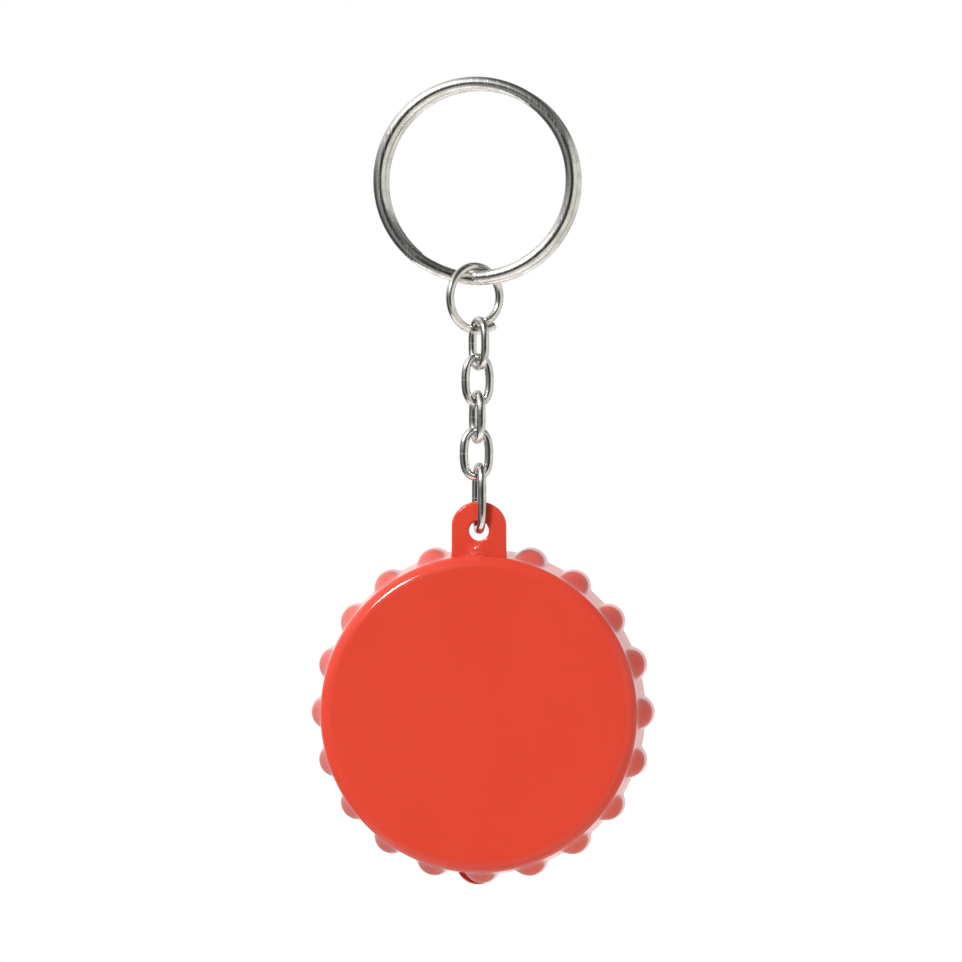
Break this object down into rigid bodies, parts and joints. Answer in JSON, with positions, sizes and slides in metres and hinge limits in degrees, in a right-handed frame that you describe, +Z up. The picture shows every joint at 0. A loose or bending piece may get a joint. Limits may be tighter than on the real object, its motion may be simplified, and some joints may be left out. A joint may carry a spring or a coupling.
{
  "type": "keychain bottle opener",
  "caption": "Round fluted cap with a tab, hung by oval links from a split key ring; a steel plate in its open back lifts a bottle's closure.",
  "frame": {"origin": "highest point inside the split ring, half way between its two coils, where a hook, nail or key carries it", "axes": "+Z up along the hanging chain, +X to the viewer's right when the cap's face is seen, +Y from the cap's face towards its open back (the cap itself is turned 3.7 degrees about Z)"},
  "size_m": [0.0417, 0.0135, 0.0978],
  "materials": {
    "ring_plating": "nickel-plated spring steel, bright, with fine handling scratches",
    "jump_plating": "nickel-plated round wire, bright, with cropped ends",
    "chain_plating": "nickel-plated round wire, bright",
    "shell_plastic": "solid-colour red-orange injection moulding, glossy",
    "plate_steel": "stamped sheet steel, bright, with faint rolling marks",
    "ring_plastic": "solid-colour red-orange injection moulding, glossy"
  },
  "bodies": {
    "split_ring": {"split_ring": "ring_plating"},
    "jump_ring": {"jump_ring": "jump_plating"},
    "chain_link_1": {"chain_link_1": "chain_plating"},
    "chain_link_2": {"chain_link_2": "chain_plating"},
    "chain_link_3": {"chain_link_3": "chain_plating"},
    "chain_link_4": {"chain_link_4": "chain_plating"},
    "chain_link_5": {"chain_link_5": "chain_plating"},
    "cap": {"front_shell": "shell_plastic", "opener_plate": "plate_steel", "back_ring": "ring_plastic"}
  },
  "joints": [
    {"name": "jump_ring_swing", "type": "hinge", "parent": "split_ring", "child": "jump_ring", "pos_m": [0, -0.00005, -0.0229], "axis": [0.9903, -0.1392, 0], "range_deg": [-90, 90]},
    {"name": "link_1_swing", "type": "hinge", "parent": "jump_ring", "child": "chain_link_1", "pos_m": [-0.00016, 0, -0.02877], "axis": [0.788, 0.6157, 0], "range_deg": [-90, 90]},
    {"name": "link_2_swing", "type": "hinge", "parent": "chain_link_1", "child": "chain_link_2", "pos_m": [0.0002, 0, -0.03321], "axis": [0.5, -0.866, 0], "range_deg": [-90, 90]},
    {"name": "link_3_swing", "type": "hinge", "parent": "chain_link_2", "child": "chain_link_3", "pos_m": [0.00005, 0, -0.03764], "axis": [-0.9455, -0.3256, 0], "range_deg": [-90, 90]},
    {"name": "link_4_swing", "type": "hinge", "parent": "chain_link_3", "child": "chain_link_4", "pos_m": [0.00002, 0, -0.04207], "axis": [0.309, -0.9511, 0], "range_deg": [-90, 90]},
    {"name": "link_5_swing", "type": "hinge", "parent": "chain_link_4", "child": "chain_link_5", "pos_m": [-0.00008, 0, -0.0465], "axis": [-0.9848, -0.1736, 0], "range_deg": [-90, 90]},
    {"name": "cap_swing", "type": "hinge", "parent": "chain_link_5", "child": "cap", "pos_m": [0.00024, 0, -0.05278], "axis": [0.0645, 0.9979, 0], "range_deg": [-100, 100]}
  ]
}
